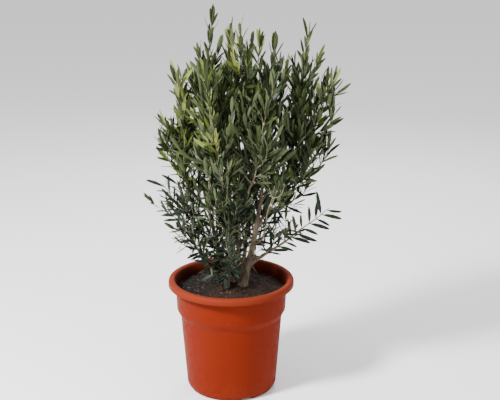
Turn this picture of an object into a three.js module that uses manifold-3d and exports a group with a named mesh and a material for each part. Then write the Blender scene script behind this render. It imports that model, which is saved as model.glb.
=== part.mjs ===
// A many-stemmed olive shrub in a round plastic nursery pot, in millimetres.
// +Z is up, the origin is the middle of the pot's underside, and the front is -Y.
// Five stems stand in the potting soil. Each mass of foliage has a bough that
// leaves a stem, and grows from that bough's tip inside a space of its own.
import * as THREE from "three";
import { mergeVertices } from "three/addons/utils/BufferGeometryUtils.js";
import Module from "manifold-3d";

const wasm = await Module();
wasm.setup();

const UP = new THREE.Vector3(0, 0, 1);
const DEGREE = Math.PI / 180;
const GAP = 0.3; // between two pieces that touch on the real plant
const WELD = 1e-3; // points nearer than this are one
const SLIVER = 0.02; // edges that a join left shorter than this are closed up

// ---------------------------------------------------------------- materials

const finish = (color, roughness) => new THREE.MeshStandardMaterial({ color, roughness, metalness: 0 });
const TERRACOTTA = finish(0xa73c1a, 0.5);
const PEAT = finish(0x2a1e17, 0.95);
const BARK = finish(0x73624c, 0.85);
const LEAVES = finish(0x4a5c33, 0.6);

// ------------------------------------------------------------- closed solids

// A closed three.js geometry as a solid that can be joined and cut.
function solidOf(geometry) {
  const bare = geometry.clone();
  bare.deleteAttribute("normal");
  bare.deleteAttribute("uv");
  const merged = mergeVertices(bare, WELD);
  return new wasm.Manifold(
    new wasm.Mesh({
      numProp: 3,
      vertProperties: merged.attributes.position.array,
      triVerts: new Uint32Array(merged.index.array),
    }),
  );
}

// The largest body of a solid, without slivers: scraps that a cut left loose are dropped,
// and sealed hollows filled.
function largestBody(solid) {
  const body = solid.decompose().reduce((best, next) => (next.volume() > best.volume() ? next : best));
  return body.simplify(SLIVER);
}

function geometryOf(solid) {
  const { vertProperties, triVerts } = solid.getMesh();
  const geometry = new THREE.BufferGeometry();
  geometry.setAttribute("position", new THREE.BufferAttribute(vertProperties, 3));
  geometry.setIndex(new THREE.BufferAttribute(triVerts, 1));
  return geometry;
}

function meshOf(solid, name, material) {
  const mesh = new THREE.Mesh(geometryOf(solid), material);
  mesh.geometry.computeVertexNormals();
  mesh.name = name;
  return mesh;
}

// A profile of [radius, height] pairs turned about the Z axis.
function turned(profile, segments) {
  const points = profile.map(([radius, height]) => new THREE.Vector2(radius, height));
  return solidOf(new THREE.LatheGeometry(points, segments).rotateX(Math.PI / 2));
}

// Points on an arc from one angle to another, as [radius, height] pairs for a profile.
function arc([centreRadius, centreHeight], radius, fromDegrees, toDegrees, steps) {
  return Array.from({ length: steps + 1 }, (_, i) => {
    const angle = (fromDegrees + ((toDegrees - fromDegrees) * i) / steps) * DEGREE;
    return [centreRadius + radius * Math.cos(angle), centreHeight + radius * Math.sin(angle)];
  });
}

// A closed tapering limb along a curve. radiusAt takes the share of the length from its start.
function limb(curve, radiusAt, sides, steps) {
  const geometry = new THREE.CylinderGeometry(1, 1, 1, sides, steps);
  const position = geometry.getAttribute("position");
  const { normals, binormals } = curve.computeFrenetFrames(steps);
  for (let i = 0; i < position.count; i++) {
    const ring = Math.round((position.getY(i) + 0.5) * steps);
    const radius = radiusAt(ring / steps);
    const point = curve
      .getPointAt(ring / steps)
      .addScaledVector(normals[ring], position.getX(i) * radius)
      .addScaledVector(binormals[ring], -position.getZ(i) * radius);
    position.setXYZ(i, point.x, point.y, point.z);
  }
  return solidOf(geometry);
}

// --------------------------------------------------------------------- pot

const POT_SEGMENTS = 36;
const POT = {
  height: 350,
  rimRadius: 190, // over the rolled rim
  mouthRadius: 170, // inside the rim
  rimDepth: 20, // the rim's downturned lip
  wall: 3,
  collarTopRadius: 169,
  collarFootRadius: 165,
  collarFoot: 255, // height where the collar steps in
  bodyTop: 234, // height where the step ends
  bodyTopRadius: 154,
  footRadius: 136,
  cornerRadius: 12,
  floor: 13, // top of the moulded base
};
const RIM_FILLET = 2; // where the collar runs out into the rim
const LIP_EDGE = 1; // the lip's lower edge is this much in from its outside
const FOOT_DRAFT = 1; // the wall is this much thicker at the floor

// Drain channels under the base, open at the pot's foot, each with a hole up into the soil.
const DRAIN = {
  count: 4,
  heading: -68, // degrees round the pot to the first
  width: 36,
  depth: 8,
  innerRadius: 62,
  past: 10, // how far the cut runs out beyond the foot
  holeRadius: 7,
  holeAt: 100,
};

function potWall() {
  const { wall, rimDepth, cornerRadius } = POT;
  const rimRound = (POT.rimRadius - POT.mouthRadius) / 2;
  const rimMiddle = POT.mouthRadius + rimRound;
  const rimShoulder = POT.height - rimRound;
  const lipFoot = POT.height - rimDepth;
  return turned(
    [
      [0, 0],
      [POT.footRadius - cornerRadius, 0],
      ...arc([POT.footRadius - cornerRadius, cornerRadius], cornerRadius, -60, -3, 2),
      [POT.bodyTopRadius, POT.bodyTop],
      [POT.collarFootRadius, POT.collarFoot],
      [POT.collarTopRadius, lipFoot + wall],
      [POT.collarTopRadius + RIM_FILLET, POT.height - 2 * wall],
      [POT.rimRadius - 2 * wall, POT.height - 2 * wall - LIP_EDGE],
      [POT.rimRadius - wall, lipFoot],
      [POT.rimRadius - LIP_EDGE, lipFoot],
      ...arc([rimMiddle, rimShoulder], rimRound, 0, 180, 6),
      [POT.collarTopRadius - wall, lipFoot],
      [POT.collarFootRadius - wall, POT.collarFoot],
      [POT.bodyTopRadius - wall, POT.bodyTop],
      [POT.footRadius - wall - FOOT_DRAFT, POT.floor],
      [0, POT.floor],
    ],
    POT_SEGMENTS,
  );
}

function potSolid() {
  let pot = potWall();
  for (let i = 0; i < DRAIN.count; i++) {
    const heading = (DRAIN.heading + (i * 360) / DRAIN.count) * DEGREE;
    const length = POT.footRadius + DRAIN.past - DRAIN.innerRadius;
    const channel = new THREE.BoxGeometry(length, DRAIN.width, 2 * DRAIN.depth)
      .translate(DRAIN.innerRadius + length / 2, 0, 0)
      .rotateZ(heading);
    const hole = new THREE.CylinderGeometry(DRAIN.holeRadius, DRAIN.holeRadius, 4 * POT.floor, 12)
      .rotateX(Math.PI / 2)
      .translate(DRAIN.holeAt, 0, 0)
      .rotateZ(heading);
    pot = pot.subtract(solidOf(channel)).subtract(solidOf(hole));
  }
  return pot;
}

// -------------------------------------------------------------------- soil

const SOIL = {
  level: 319, // where the stems stand
  levelRadius: 95, // the flat middle
  edge: 314, // height at the pot's wall
  clear: 0.5, // to the pot
  fill: 1, // how far above the pot's step its own step ends
};

function soilSolid() {
  const inset = POT.wall + SOIL.clear;
  const rise = (SOIL.edge - POT.collarFoot) / (POT.height - POT.rimDepth - POT.collarFoot);
  const edgeRadius = THREE.MathUtils.lerp(POT.collarFootRadius, POT.collarTopRadius, rise) - inset;
  return turned(
    [
      [0, POT.floor + SOIL.clear],
      [POT.footRadius - inset - FOOT_DRAFT, POT.floor + SOIL.clear],
      [POT.bodyTopRadius - inset, POT.bodyTop],
      [POT.collarFootRadius - inset, POT.collarFoot + SOIL.fill],
      [edgeRadius, SOIL.edge],
      [SOIL.levelRadius, SOIL.level],
      [0, SOIL.level],
    ],
    POT_SEGMENTS,
  );
}

// ------------------------------------------------------------------- stems

// Each stem bends over one knee, and its radius runs from the foot's to the tip's.
const STEMS = {
  right: { foot: [36, 15], knee: [81, 20, 490], tip: [98, 25, 668], footRadius: 12, tipRadius: 4.2 },
  middle: { foot: [8, 42], knee: [40, 38, 500], tip: [4, 30, 690], footRadius: 8, tipRadius: 3.6 },
  left: { foot: [-24, 38], knee: [-50, 32, 500], tip: [-99, 20, 690], footRadius: 7.5, tipRadius: 3.6 },
  back: { foot: [32, 84], knee: [52, 112, 500], tip: [66, 128, 680], footRadius: 7.5, tipRadius: 3.6 },
  front: { foot: [-14, 2], knee: [4, -38, 480], tip: [22, -84, 640], footRadius: 6.5, tipRadius: 3.2 },
};
const STEM = { sides: 8, steps: 10, flare: 0.45, flareHeight: 14, buried: 12, taper: 0.75 };
const GROUND = SOIL.level + GAP;

function stemCurve({ foot, knee, tip }) {
  const start = new THREE.Vector3(...foot, GROUND);
  const middle = new THREE.Vector3(...knee);
  return new THREE.QuadraticBezierCurve3(start, middle, new THREE.Vector3(...tip));
}

function stemRadius({ footRadius, tipRadius }, share, length) {
  const taper = THREE.MathUtils.lerp(footRadius, tipRadius, Math.pow(share, STEM.taper));
  return taper + footRadius * STEM.flare * Math.exp((-share * length) / STEM.flareHeight);
}

// The stem grows from a little below the ground, and is cut flat there.
function stemSolid(stem) {
  const start = stem.curve.getPointAt(0);
  const buried = start.clone().addScaledVector(stem.curve.getTangentAt(0), -STEM.buried);
  const whole = new THREE.CurvePath();
  whole.add(new THREE.LineCurve3(buried, start));
  whole.add(stem.curve);
  const total = whole.getLength();
  const radiusAt = (share) => stem.radiusAt(Math.max(0, (share * total - STEM.buried) / stem.length));
  return limb(whole, radiusAt, STEM.sides, STEM.steps).trimByPlane([0, 0, 1], GROUND);
}

// ---------------------------------------------------------- foliage spaces

// Each mass fills the part of an ellipsoid that lies nearer to it than to its neighbours.
// at and reach give the ellipsoid's middle and half sizes, and lean is how far its leader tips
// outwards in degrees. Its bough leaves the named stem at the height fork, or goes on from its tip,
// and seed picks the growth of its twigs.
const MASSES = {
  top_left: { stem: "left", fork: "tip", at: [-62, 8, 976], reach: [92, 90, 194], lean: 5, seed: 90 },
  top_middle: { stem: "middle", fork: "tip", at: [28, -54, 936], reach: [88, 88, 154], lean: 6, seed: 33 },
  top_right: { stem: "right", fork: 640, at: [206, 18, 958], reach: [88, 96, 172], lean: 9, seed: 25 },
  top_inner_right: { stem: "right", fork: "tip", at: [122, -30, 940], reach: [84, 86, 158], lean: 4, seed: 64 },
  top_back: { stem: "back", fork: "tip", at: [80, 104, 938], reach: [106, 92, 154], lean: 6, seed: 32 },
  upper_left: { stem: "left", fork: 610, at: [-132, -12, 852], reach: [86, 98, 142], lean: 15, seed: 34 },
  upper_right: { stem: "right", fork: 575, at: [252, -6, 846], reach: [92, 100, 120], lean: 22, seed: 129 },
  front_left: { stem: "front", fork: "tip", at: [-44, -126, 840], reach: [98, 86, 156], lean: 10, seed: 53 },
  front_right: { stem: "front", fork: 575, at: [94, -134, 822], reach: [98, 86, 156], lean: 14, seed: 52 },
  back_left: { stem: "back", fork: 560, at: [-54, 122, 844], reach: [100, 92, 156], lean: 14, seed: 23 },
  back_right: { stem: "back", fork: 610, at: [186, 124, 830], reach: [98, 94, 156], lean: 14, seed: 108 },
  heart: { stem: "middle", fork: 560, at: [42, 10, 752], reach: [88, 84, 136], lean: 8, seed: 23 },
  inner_left: { stem: "left", fork: 500, at: [-62, 44, 676], reach: [78, 86, 104], lean: 10, seed: 13 },
  inner_right: { stem: "right", fork: 480, at: [136, 62, 676], reach: [78, 86, 108], lean: 12, seed: 14 },
  middle_left: { stem: "left", fork: 540, at: [-148, -14, 706], reach: [80, 96, 108], lean: 20, seed: 20 },
  middle_right: { stem: "right", fork: 515, at: [214, -4, 690], reach: [86, 96, 112], lean: 26, seed: 18 },
  lower_left: { stem: "left", fork: 450, at: [-152, -2, 576], reach: [98, 88, 88], lean: 36, seed: 32 },
  lower_front: { stem: "front", fork: 440, at: [-14, -112, 602], reach: [102, 84, 130], lean: 22, seed: 31 },
  lower_front_right: { stem: "right", fork: 440, at: [110, -108, 584], reach: [98, 84, 116], lean: 26, seed: 23 },
  lower_back: { stem: "back", fork: 430, at: [66, 164, 606], reach: [126, 88, 126], lean: 6, seed: 31 },
  foot_left: { stem: "left", fork: 385, at: [-104, -38, 468], reach: [82, 78, 74], lean: 34, seed: 26 },
  lower_right: { stem: "right", fork: 375, at: [226, 0, 514], reach: [102, 86, 80], lean: 50, seed: 34 },
  foot_right: { stem: "right", fork: 405, at: [126, -42, 474], reach: [70, 72, 68], lean: 36, seed: 26 },
};

// How far an ellipsoid with these half sizes reaches from its middle along a unit direction.
function reachAlong(reach, direction) {
  return 1 / direction.clone().divide(reach).length();
}

// The flat walls that part this mass from every other, facing inwards.
function wallsOf(mass, masses) {
  return masses
    .filter((other) => other !== mass)
    .map((other) => {
      const across = other.centre.clone().sub(mass.centre);
      const distance = across.length();
      across.normalize();
      const own = reachAlong(mass.reach, across);
      const share = own / (own + reachAlong(other.reach, across));
      const foot = mass.centre.clone().addScaledVector(across, distance * share);
      return new THREE.Plane().setFromNormalAndCoplanarPoint(across.negate(), foot);
    });
}

// ------------------------------------------------------------------ boughs

const BOUGH = {
  sides: 5,
  steps: 6,
  share: 0.66, // of its stem's radius, where it leaves
  tipRadius: 3,
  entry: 0.8, // how low in its mass it may end, as a share of the reach
  entryRoom: 6, // from its end to the walls of the mass's space
  entryStep: 3,
  lift: 0.25, // how much it turns upwards where it leaves
  bend: 0.35, // how far its curve keeps to either end's direction, as a share of the span
};

// The share of a stem's height at which a bough leaves it.
function forkShare({ fork, stem }) {
  return fork === "tip" ? 1 : (fork - GROUND) / (stem.tip[2] - GROUND);
}

// The lowest point on the axis through a mass's centre that still has room around it.
function entryPoint(mass, axis) {
  const to = mass.centre.clone();
  const lowest = BOUGH.entry * reachAlong(mass.reach, axis);
  for (let fall = 0; fall < lowest && hasRoom(mass, to, BOUGH.entryRoom); fall += BOUGH.entryStep) {
    to.addScaledVector(axis, -BOUGH.entryStep);
  }
  return to;
}

// Where the bough leaves its stem, where it ends, and the way it points there.
function boughCurve(mass) {
  const { stem, fork, centre, lean } = mass;
  const fromTip = fork === "tip";
  const at = fromTip ? 1 : shareAtHeight(stem, forkShare(mass));
  const from = stem.curve.getPoint(at);
  const outwards = centre.clone().sub(from).setZ(0).normalize();
  const axis = outwards.multiplyScalar(Math.sin(lean * DEGREE)).addScaledVector(UP, Math.cos(lean * DEGREE));
  const to = entryPoint(mass, axis);
  const onwards = stem.curve.getTangent(at);
  if (fromTip) from.addScaledVector(onwards, GAP);
  const towards = to.clone().sub(from).normalize().addScaledVector(UP, BOUGH.lift).normalize();
  const handle = from.distanceTo(to) * BOUGH.bend;
  const curve = new THREE.CubicBezierCurve3(
    from,
    from.clone().addScaledVector(fromTip ? onwards : towards, handle),
    to.clone().addScaledVector(axis, -handle),
    to,
  );
  return { curve, axis };
}

// The Bezier parameter at which a stem has risen by this share of its height.
function shareAtHeight(stem, share) {
  const rise = stem.tip[2] - GROUND;
  const knee = (stem.knee[2] - GROUND) / rise;
  const curvature = 1 - 2 * knee;
  if (Math.abs(curvature) < 1e-9) return share;
  return (Math.sqrt(knee * knee + curvature * share) - knee) / curvature;
}

// The stem, thickened by the gap, is cut out of the bough's root.
function boughSolid({ bough, stem, fork }) {
  const whole = limb(bough.curve, bough.radiusAt, BOUGH.sides, BOUGH.steps);
  if (fork === "tip") return whole;
  const socket = limb(stem.curve, (share) => stem.radiusAt(share) + GAP, STEM.sides, STEM.steps);
  return largestBody(whole.subtract(socket));
}

// ----------------------------------------------------------------- foliage

const LEADER = { radius: 3, tipRadius: 2.6, step: 70, sway: 5, end: 0.96 };
const SHOOT = {
  gap: 46, // between pairs along the leader
  spread: 54, // degrees from the leader
  step: 50,
  steps: 2,
  rise: 0.45, // how fast it turns upwards
  stray: 0.16, // how far a stretch may turn off that way
  radius: 1.2,
  tipRadius: 1.1,
};
const LEAF = {
  gap: 31, // between pairs along a twig
  length: 88,
  aspect: 0.29, // width over length
  thickness: 0.026, // over length
  angle: 42, // degrees from its twig
  spread: 24, // and how far that varies
  loose: 0.8, // radians it may stray round its twig
  turns: [0, 40, -40, 80, -80], // degrees it may turn round its twig to find room
  widest: 0.45, // share of the length where it is widest
  outer: 0.7, // share of the length where its outer part keeps clear too
  sunk: 0.6, // its root's depth in the twig
  tipSetBack: 4, // of the last pair from its twig's end
  sides: 3, // of the twigs that carry the leaves
  sampleStep: 12, // between the spots kept clear along a twig
  share: 1, // the longest leaf, as a share of its mass's mean reach
  sizes: [1, 0.8, 0.6], // tried in turn where there is less room
  apart: 13, // from the spots on other leaves and twigs
  swell: 1.08, // how far leaves may stand out of the crown's outline
};
// The crown's top is a flat dome, and only the leaders' ends stand out of it.
const DOME = {
  middle: new THREE.Vector3(70, -40, 1092),
  fall: 28e-9, // of the dome, times the fourth power of the distance from its middle
  depth: 1.2, // front and back count as this much further out
};
const CLEAR = 1.2; // of a twig or leaf to the limbs and the edge of its space
const OVER_SOIL = 4;
const OVER_RIM = 6;
const RIM_SIDE = 8; // and how far inside the mouth that height over the rim already holds
const LIMB_STEP = 4; // between the points at which a limb's bark is measured

// The same share of 1 for the same three whole numbers.
function draw(a, b, c) {
  const wave = Math.sin(a * 12.9898 + b * 78.233 + c * 37.719) * 43758.5453;
  return wave - Math.floor(wave);
}

// Whether a point lies inside its mass's space, above the soil and clear of the pot's rim.
function hasRoom(mass, point, margin = CLEAR, swell = 1) {
  const local = point.clone().sub(mass.centre).divide(mass.reach);
  if (local.length() > swell) return false;
  if (point.z < SOIL.level + OVER_SOIL) return false;
  const overRim = Math.hypot(point.x, point.y) > POT.mouthRadius - RIM_SIDE;
  if (overRim && point.z < POT.height + OVER_RIM) return false;
  return mass.walls.every((wall) => wall.distanceToPoint(point) > margin);
}

function underDome(point) {
  const away = Math.hypot(point.x - DOME.middle.x, DOME.depth * (point.y - DOME.middle.y));
  return point.z < DOME.middle.z - DOME.fall * away ** 4;
}

// Whether a stretch keeps this far from every limb's bark.
function clearOfLimbs(limbs, from, to, halfWidth) {
  const stretch = new THREE.Line3(from, to);
  const nearest = new THREE.Vector3();
  return limbs.every(({ samples }) =>
    samples.every(({ point, radius }) => {
      stretch.closestPointToPoint(point, true, nearest);
      return nearest.distanceTo(point) > radius + halfWidth + CLEAR;
    }),
  );
}

// One leaf of four faces: its keel runs from the root in the twig to the tip,
// and the edge opposite crosses its upper face at the widest place.
function leafSolid({ root, along, across, face, length, half }) {
  const blade = new THREE.TetrahedronGeometry(1);
  const position = blade.getAttribute("position");
  for (let i = 0; i < position.count; i++) {
    const [x, y, z] = [position.getX(i), position.getY(i), position.getZ(i)].map(Math.sign);
    const onKeel = z > 0;
    const point = root
      .clone()
      .addScaledVector(along, length * (onKeel ? (1 + x) / 2 : LEAF.widest))
      .addScaledVector(across, onKeel ? 0 : -x * half)
      .addScaledVector(face, onKeel ? -LEAF.thickness * length : 0);
    position.setXYZ(i, point.x, point.y, point.z);
  }
  return solidOf(blade);
}

// The blade that leaves a twig at a node towards this side, with spots along its outer part.
function bladeAt(node, tangent, side, angle, length) {
  const along = tangent.clone().multiplyScalar(Math.cos(angle)).addScaledVector(side, Math.sin(angle));
  const face = tangent.clone().addScaledVector(along, -tangent.dot(along)).normalize();
  const across = along.clone().cross(face);
  const root = node.clone().addScaledVector(along, -LEAF.sunk);
  const half = (LEAF.aspect * length) / 2;
  const spots = [LEAF.widest, LEAF.outer, 1].map((share) => root.clone().addScaledVector(along, share * length));
  const edges = [half, -half].map((offset) => spots[0].clone().addScaledVector(across, offset));
  return { root, along, across, face, length, half, spots, edges };
}

// Whether a blade lies in its mass's space, clear of the limbs and of what has grown there.
function bladeFits(mass, limbs, taken, isLeader, { root, half, spots, edges }) {
  if (![spots[2], ...edges].every((point) => hasRoom(mass, point, CLEAR, LEAF.swell))) return false;
  if (!isLeader && !underDome(spots[2])) return false;
  if (!spots.every((spot) => taken.every((other) => other.distanceTo(spot) > LEAF.apart))) return false;
  return clearOfLimbs(limbs, root, spots[2], half);
}

// A leaf turns round its twig to where it has room, or stays smaller, or is left out.
function leafAt(mass, limbs, taken, { node, tangent, side, key, isLeader }) {
  const longest = Math.min(LEAF.length, LEAF.share * Math.cbrt(mass.reach.x * mass.reach.y * mass.reach.z));
  const loose = LEAF.loose * (draw(mass.seed, key, 5) - 0.5);
  const angle = (LEAF.angle + LEAF.spread * (draw(mass.seed, key, 7) - 0.5)) * DEGREE;
  for (const size of LEAF.sizes) {
    for (const turn of LEAF.turns) {
      const towards = side.clone().applyAxisAngle(tangent, loose + turn * DEGREE);
      const blade = bladeAt(node, tangent, towards, angle, size * longest);
      if (bladeFits(mass, limbs, taken, isLeader, blade)) return blade;
    }
  }
  return null;
}

// Where a twig's leaves sit: in pairs, each turned a quarter from the last.
function leafPlaces({ curve, key }, twig) {
  const pairs = Math.max(1, Math.round(curve.getLength() / LEAF.gap));
  const { normals, binormals, tangents } = curve.computeFrenetFrames(pairs);
  return tangents.slice(1).flatMap((tangent, i) => {
    const k = i + 1;
    const side = sideways(normals[k], binormals[k], key + k * 90 * DEGREE);
    const node = curve.getPointAt(k / pairs).addScaledVector(tangent, k === pairs ? -LEAF.tipSetBack : 0);
    return [side, side.clone().negate()].map((towards, half) => ({
      node,
      tangent,
      side: towards,
      key: 100 * key + 2 * k + half,
      isLeader: twig === 0,
    }));
  });
}

// Straight stretches from each point to the next.
function straights(points) {
  const path = new THREE.CurvePath();
  for (let k = 1; k < points.length; k++) path.add(new THREE.LineCurve3(points[k - 1], points[k]));
  return path;
}

// A unit vector square to a curve, at this angle round it.
function sideways(normal, binormal, angle) {
  return normal.clone().multiplyScalar(Math.cos(angle)).addScaledVector(binormal, Math.sin(angle));
}

// A side shoot sets out from the leader and turns upwards until its space or its length ends.
function shootPoints(mass, limbs, from, heading, key) {
  const points = [from.clone()];
  const direction = heading.clone();
  for (let k = 0; k < SHOOT.steps; k++) {
    direction.addScaledVector(UP, SHOOT.rise);
    direction.x += SHOOT.stray * (draw(mass.seed, key, k + 11) - 0.5);
    direction.y += SHOOT.stray * (draw(mass.seed, key, k + 31) - 0.5);
    direction.normalize();
    const next = points[k].clone().addScaledVector(direction, SHOOT.step);
    if (!hasRoom(mass, next) || !underDome(next)) break;
    if (!clearOfLimbs(limbs, points[k], next, SHOOT.radius)) break;
    points.push(next);
  }
  return points;
}

// The leader rises from just past the bough's tip to the far end of the mass's space.
function leaderPoints(mass, limbs) {
  const others = limbs.filter((other) => other !== mass.bough);
  const { curve, axis } = mass.bough;
  const start = curve.getPointAt(1).addScaledVector(axis, GAP);
  const end = mass.centre.clone().addScaledVector(axis, LEADER.end * reachAlong(mass.reach, axis));
  const count = Math.max(2, Math.round(start.distanceTo(end) / LEADER.step));
  const points = [start];
  for (let k = 1; k <= count; k++) {
    const sway = LEADER.sway * Math.sin((Math.PI * k) / count);
    const next = start.clone().lerp(end, k / count);
    next.x += sway * (draw(mass.seed, 1, k) - 0.5) * 2;
    next.y += sway * (draw(mass.seed, 2, k) - 0.5) * 2;
    if (!hasRoom(mass, next) || !clearOfLimbs(others, points[k - 1], next, LEADER.radius)) break;
    points.push(next);
  }
  return points;
}

// The mass's twigs: its leader, and pairs of side shoots that leave it.
function twigsOf(mass, limbs) {
  const leader = { curve: straights(leaderPoints(mass, limbs)), key: mass.seed, ...LEADER };
  const twigs = [leader];
  const nodes = Math.max(1, Math.round(leader.curve.getLength() / SHOOT.gap));
  const { normals, binormals, tangents } = leader.curve.computeFrenetFrames(2 * nodes);
  for (let k = 1; k < 2 * nodes; k += 2) {
    for (const half of [0, 1]) {
      const key = 10 * k + half;
      const turn = mass.seed + k * 45 * DEGREE + half * Math.PI + draw(mass.seed, key, 3) - 0.5;
      const side = sideways(normals[k], binormals[k], turn);
      const heading = tangents[k].clone().multiplyScalar(Math.cos(SHOOT.spread * DEGREE));
      heading.addScaledVector(side, Math.sin(SHOOT.spread * DEGREE));
      const points = shootPoints(mass, limbs, leader.curve.getPointAt(k / (2 * nodes)), heading, key);
      if (points.length > 1) twigs.push({ curve: straights(points), key, ...SHOOT });
    }
  }
  return twigs;
}

function foliageSolid(mass, limbs) {
  const twigs = twigsOf(mass, limbs);
  const taken = twigs.flatMap(({ curve }) =>
    curve.getSpacedPoints(Math.ceil(curve.getLength() / LEAF.sampleStep)),
  );
  const solids = twigs.map(({ curve, radius, tipRadius }) => {
    const radiusAt = (share) => THREE.MathUtils.lerp(radius, tipRadius, share);
    return limb(curve, radiusAt, LEAF.sides, curve.curves.length);
  });
  for (const place of twigs.flatMap(leafPlaces)) {
    const blade = leafAt(mass, limbs, taken, place);
    if (!blade) continue;
    taken.push(...blade.spots);
    solids.push(leafSolid(blade));
  }
  return largestBody(wasm.Manifold.union(solids));
}

// ------------------------------------------------------------- the whole plant

// Points along a limb with the bark's radius at each, for keeping leaves clear of it.
function sampled(curve, length, radiusAt) {
  const count = Math.ceil(length / LIMB_STEP);
  return Array.from({ length: count + 1 }, (_, i) => ({
    point: curve.getPointAt(i / count),
    radius: radiusAt(i / count),
  }));
}

const stems = Object.entries(STEMS).map(([name, sizes]) => {
  const curve = stemCurve(sizes);
  const length = curve.getLength();
  const radiusAt = (share) => stemRadius(sizes, share, length);
  return { name, ...sizes, curve, length, radiusAt, samples: sampled(curve, length, radiusAt) };
});

const masses = Object.entries(MASSES).map(([name, row]) => ({
  ...row,
  name,
  centre: new THREE.Vector3(...row.at),
  reach: new THREE.Vector3(...row.reach),
  stem: stems.find(({ name }) => name === row.stem),
}));

for (const mass of masses) {
  mass.walls = wallsOf(mass, masses);
  const { curve, axis } = boughCurve(mass);
  const rootRadius = (mass.fork === "tip" ? 1 : BOUGH.share) * mass.stem.radiusAt(forkShare(mass));
  const radiusAt = (along) => THREE.MathUtils.lerp(Math.max(rootRadius, BOUGH.tipRadius), BOUGH.tipRadius, along);
  mass.bough = { name: mass.name, curve, axis, radiusAt, samples: sampled(curve, curve.getLength(), radiusAt) };
}

const limbs = [...stems, ...masses.map(({ bough }) => bough)];
const plant = new THREE.Group();
plant.add(meshOf(potSolid(), "pot", TERRACOTTA));
plant.add(meshOf(soilSolid(), "soil", PEAT));
for (const stem of stems) plant.add(meshOf(stemSolid(stem), `stem_${stem.name}`, BARK));
for (const mass of masses) {
  plant.add(meshOf(boughSolid(mass), `bough_${mass.name}`, BARK));
  plant.add(meshOf(foliageSolid(mass, limbs), `foliage_${mass.name}`, LEAVES));
}

export default plant;
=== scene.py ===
import math
import random

import bmesh
import bpy
import numpy as np
from mathutils import Matrix, Vector, noise


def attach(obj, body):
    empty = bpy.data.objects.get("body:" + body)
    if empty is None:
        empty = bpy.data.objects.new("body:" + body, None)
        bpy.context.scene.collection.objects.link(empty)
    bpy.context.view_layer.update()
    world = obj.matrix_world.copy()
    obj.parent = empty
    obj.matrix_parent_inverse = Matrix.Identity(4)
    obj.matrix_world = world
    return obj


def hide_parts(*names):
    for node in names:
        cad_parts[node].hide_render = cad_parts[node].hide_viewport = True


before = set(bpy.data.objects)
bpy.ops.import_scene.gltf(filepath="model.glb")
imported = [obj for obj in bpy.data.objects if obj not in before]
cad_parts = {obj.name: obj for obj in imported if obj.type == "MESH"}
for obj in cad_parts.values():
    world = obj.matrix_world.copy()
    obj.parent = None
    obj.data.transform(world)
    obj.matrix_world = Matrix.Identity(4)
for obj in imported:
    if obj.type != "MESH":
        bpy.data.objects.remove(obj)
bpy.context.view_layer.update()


# ------------------------------------------------------------------- studio
# A pale floor under a soft white surround. The brightest of three soft lamps hangs
# high at the front left. A weak one fills from the right and one lights the back.


def finish_of(name, colour, roughness, **sockets):
    """A material, its even values set on the shader's own sockets, with its shader."""
    material = bpy.data.materials.new(name)
    material.use_nodes = True
    shader = material.node_tree.nodes["Principled BSDF"]
    shader.inputs["Base Color"].default_value = (*colour, 1)
    shader.inputs["Roughness"].default_value = roughness
    for socket, value in sockets.items():
        shader.inputs[socket.replace("_", " ")].default_value = value
    return material, shader


def object_of(mesh, name):
    """A mesh as an object of the scene, at the origin."""
    made = bpy.data.objects.new(name, mesh)
    bpy.context.scene.collection.objects.link(made)
    return made


def soft_lamp(name, place, target, width, power):
    """A round lamp, so many metres across and of so many watts, that looks at a target."""
    light = bpy.data.lights.new(name, "AREA")
    light.shape = "DISK"
    light.size = width
    light.energy = power
    made = bpy.data.objects.new(name, light)
    made.location = place
    made.rotation_euler = (Vector(target) - Vector(place)).to_track_quat("-Z", "Y").to_euler()
    bpy.context.scene.collection.objects.link(made)


FLOOR_HALF = 40
PAPER = (0.93, 0.93, 0.93)
floor_mesh = bpy.data.meshes.new("studio_floor")
floor_mesh.from_pydata(
    [(x * FLOOR_HALF, y * FLOOR_HALF, 0) for x, y in ((-1, -1), (1, -1), (1, 1), (-1, 1))],
    [],
    [(0, 1, 2, 3)],
)
floor_mesh.materials.append(finish_of("studio_paper", PAPER, 0.9)[0])
floor = object_of(floor_mesh, "studio_floor")

surround = bpy.data.worlds.new("studio_surround")
surround.use_nodes = True
surround.node_tree.nodes["Background"].inputs["Color"].default_value = (1, 1, 1, 1)
surround.node_tree.nodes["Background"].inputs["Strength"].default_value = 1.0
bpy.context.scene.world = surround

CROWN_MIDDLE = (0.05, 0, 0.75)
soft_lamp("key_lamp", (-2.2, -1.7, 2.8), CROWN_MIDDLE, width=0.7, power=380)
soft_lamp("fill_lamp", (2.4, -1.6, 1.6), CROWN_MIDDLE, width=1.6, power=14)
soft_lamp("back_lamp", (0.6, 2.4, 2.6), CROWN_MIDDLE, width=1.2, power=60)

CAMERA_PLACE = (0.057, -3.0, 1.478)
CAMERA_DOWN = 16.44
camera_data = bpy.data.cameras.new("camera")
camera_data.lens = 75.9
camera_data.sensor_width = 36
camera = bpy.data.objects.new("camera", camera_data)
camera.location = CAMERA_PLACE
camera.rotation_euler = (math.radians(90 - CAMERA_DOWN), 0, 0)
bpy.context.scene.collection.objects.link(camera)
bpy.context.scene.camera = camera


# ---------------------------------------------------------------------- pot
# A round nursery pot, moulded in one piece from terracotta-coloured plastic 3 mm
# thick: a rolled rim over a hollow lip, a collar that steps in, a drafted wall, and
# a base crossed by four drain channels.

MM = 0.001
POT_HEIGHT = 350 * MM
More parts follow.
